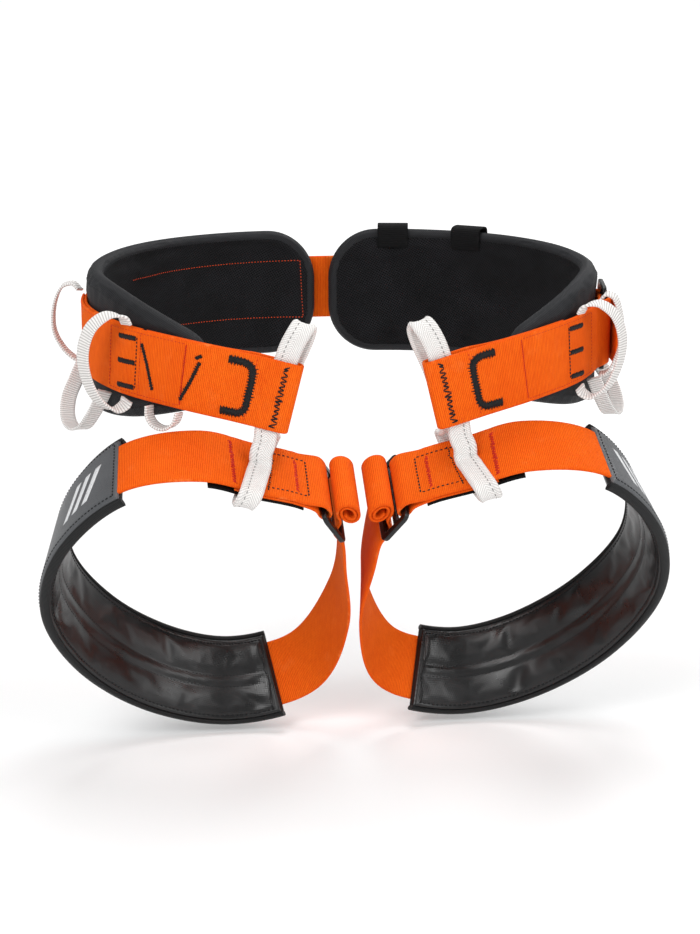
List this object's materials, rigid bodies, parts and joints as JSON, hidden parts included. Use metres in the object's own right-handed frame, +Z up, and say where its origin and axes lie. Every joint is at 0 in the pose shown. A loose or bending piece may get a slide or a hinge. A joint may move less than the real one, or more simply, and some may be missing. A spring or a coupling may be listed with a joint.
{
  "type": "tree climbing saddle",
  "caption": "Padded waist belt of wide webbing with two padded leg loops hung from soft tie-in rings, with adjusters and tape gear loops.",
  "frame": {"origin": "centre of the waist, level with the middle of the belt at the back; the saddle is held there, as by a wearer", "axes": "+Z up, the front of the saddle faces -Y, +X towards the wearer's left"},
  "size_m": [0.4152, 0.2818, 0.323],
  "materials": {
    "orange_webbing": "woven polyester webbing",
    "black_thread": "bar-tacked polyester thread",
    "red_thread": "polyester thread",
    "white_tape": "ribbed tape",
    "ring_webbing": "tubular webbing",
    "black_tape": "woven tape",
    "black_piping": "bound edge",
    "foam": "closed-cell foam",
    "pad_cover": "dense woven cover",
    "pad_mesh": "spacer mesh with a fine diagonal weave",
    "leg_outer_fabric": "coated smooth cloth",
    "leg_inner_vinyl": "glossy coated cloth",
    "buckle_metal": "dark satin coating",
    "buckle_bar_metal": "dark knurled coating",
    "pale_print": "printed mark"
  },
  "bodies": {
    "waist_belt": {"left_bar_tacks": "black_thread", "left_front_webbing": "orange_webbing", "left_pad_keepers": "black_tape", "left_red_seams": "red_thread", "left_waist_pad_binding": "black_tape", "left_waist_pad_cover": "pad_cover", "left_waist_pad_foam": "foam", "left_waist_pad_liner": "pad_mesh", "right_bar_tacks": "black_thread", "right_front_webbing": "orange_webbing", "right_red_seams": "red_thread", "right_waist_pad_binding": "black_tape", "right_waist_pad_cover": "pad_cover", "right_waist_pad_foam": "foam", "right_waist_pad_liner": "pad_mesh", "waist_rear_webbing": "orange_webbing"},
    "waist_buckle": {"waist_buckle_frame": "buckle_metal"},
    "waist_buckle_slider": {"waist_buckle_bar": "buckle_bar_metal"},
    "left_ring": {"left_ring_upper": "ring_webbing"},
    "left_leg": {"left_leg_front_webbing": "orange_webbing", "left_leg_lower_webbing": "orange_webbing", "left_leg_pad_foam": "foam", "left_leg_pad_inner_skin": "leg_inner_vinyl", "left_leg_pad_outer_skin": "leg_outer_fabric", "left_leg_pad_piping": "black_piping", "left_leg_ring_backing": "black_tape", "left_ring_lower": "ring_webbing"},
    "left_leg_buckle": {"left_leg_buckle_frame": "buckle_metal"},
    "left_leg_buckle_slider": {"left_leg_buckle_bar": "buckle_bar_metal"},
    "left_front_loop": {"left_upright_gear_loop_front": "white_tape"},
    "left_rear_loop": {"left_upright_gear_loop_rear": "white_tape"},
    "left_hanging_loop": {"left_hanging_gear_loop": "white_tape"},
    "right_ring": {"right_ring_upper": "ring_webbing"},
    "right_leg": {"right_leg_front_webbing": "orange_webbing", "right_leg_lower_webbing": "orange_webbing", "right_leg_pad_foam": "foam", "right_leg_pad_inner_skin": "leg_inner_vinyl", "right_leg_pad_outer_skin": "leg_outer_fabric", "right_leg_pad_piping": "black_piping", "right_leg_ring_backing": "black_tape", "right_ring_lower": "ring_webbing"},
    "right_leg_buckle": {"right_leg_buckle_frame": "buckle_metal"},
    "right_leg_buckle_slider": {"right_leg_buckle_bar": "buckle_bar_metal"},
    "right_front_loop": {"right_upright_gear_loop_front": "white_tape"},
    "right_rear_loop": {"right_upright_gear_loop_rear": "white_tape"},
    "right_hanging_loop": {"right_hanging_gear_loop": "white_tape"},
    "right_small_loop": {"right_small_gear_loop": "white_tape"}
  },
  "joints": [
    {"name": "waist_buckle_tilt", "type": "hinge", "parent": "waist_belt", "child": "waist_buckle", "pos_m": [0.17161, -0.03724, -0.00236], "axis": [0.0063, 0.0544, -0.9985], "range_deg": [0, 5]},
    {"name": "waist_bar_slide", "type": "slide", "parent": "waist_buckle", "child": "waist_buckle_slider", "axis": [-0.1141, -0.992, -0.0547], "range_m": [-0.0006, 0.0018]},
    {"name": "left_ring_slide", "type": "slide", "parent": "waist_belt", "child": "left_ring", "axis": [-0.302, -0.0314, 0.9528], "range_m": [-0.005, 0]},
    {"name": "left_leg_swing", "type": "hinge", "parent": "left_ring", "child": "left_leg", "pos_m": [0.064, -0.112, -0.051], "axis": [1, 0, 0], "range_deg": [-30, 22]},
    {"name": "left_leg_buckle_tilt", "type": "hinge", "parent": "left_leg", "child": "left_leg_buckle", "pos_m": [0.0255, -0.10961, -0.08699], "axis": [0, 0.866, 0.5], "range_deg": [0, 5]},
    {"name": "left_leg_bar_slide", "type": "slide", "parent": "left_leg_buckle", "child": "left_leg_buckle_slider", "axis": [0.5085, -0.4305, 0.7457], "range_m": [-0.0006, 0.0018]},
    {"name": "left_front_loop_swing", "type": "hinge", "parent": "waist_belt", "child": "left_front_loop", "pos_m": [0.14589, -0.08339, -0.00703], "axis": [-0.0212, -0.0211, 0.9996], "range_deg": [-20, 20], "stiffness_Nm_per_rad": 0.01},
    {"name": "left_rear_loop_swing", "type": "hinge", "parent": "waist_belt", "child": "left_rear_loop", "pos_m": [0.16495, -0.0569, -0.00468], "axis": [-0.0311, -0.0596, 0.9977], "range_deg": [-20, 8], "stiffness_Nm_per_rad": 0.01},
    {"name": "left_hanging_loop_swing", "type": "hinge", "parent": "waist_belt", "child": "left_hanging_loop", "pos_m": [0.16682, -0.03209, -0.02778], "axis": [-0.2094, -0.9758, -0.0627], "range_deg": [-10, 20], "stiffness_Nm_per_rad": 0.01},
    {"name": "right_ring_slide", "type": "slide", "parent": "waist_belt", "child": "right_ring", "axis": [0.302, -0.0314, 0.9528], "range_m": [-0.005, 0]},
    {"name": "right_leg_swing", "type": "hinge", "parent": "right_ring", "child": "right_leg", "pos_m": [-0.064, -0.112, -0.051], "axis": [1, 0, 0], "range_deg": [-30, 22]},
    {"name": "right_leg_buckle_tilt", "type": "hinge", "parent": "right_leg", "child": "right_leg_buckle", "pos_m": [-0.0255, -0.10961, -0.08699], "axis": [0, -0.866, -0.5], "range_deg": [0, 5]},
    {"name": "right_leg_bar_slide", "type": "slide", "parent": "right_leg_buckle", "child": "right_leg_buckle_slider", "axis": [-0.5085, -0.4305, 0.7457], "range_m": [-0.0006, 0.0018]},
    {"name": "right_front_loop_swing", "type": "hinge", "parent": "waist_belt", "child": "right_front_loop", "pos_m": [-0.14589, -0.08339, -0.00703], "axis": [-0.0212, 0.0211, -0.9996], "range_deg": [-20, 20], "stiffness_Nm_per_rad": 0.01},
    {"name": "right_rear_loop_swing", "type": "hinge", "parent": "waist_belt", "child": "right_rear_loop", "pos_m": [-0.17365, 0.00643, -0.00094], "axis": [0.0039, 0.0265, -0.9996], "range_deg": [-20, 20], "stiffness_Nm_per_rad": 0.01},
    {"name": "right_hanging_loop_swing", "type": "hinge", "parent": "waist_belt", "child": "right_hanging_loop", "pos_m": [-0.16682, -0.03209, -0.02778], "axis": [-0.2094, 0.9758, 0.0627], "range_deg": [-10, 20], "stiffness_Nm_per_rad": 0.01},
    {"name": "right_small_loop_swing", "type": "hinge", "parent": "waist_belt", "child": "right_small_loop", "pos_m": [-0.12371, -0.09962, -0.03441], "axis": [-0.8309, 0.5434, 0.1201], "range_deg": [-6, 6], "stiffness_Nm_per_rad": 0.01}
  ]
}
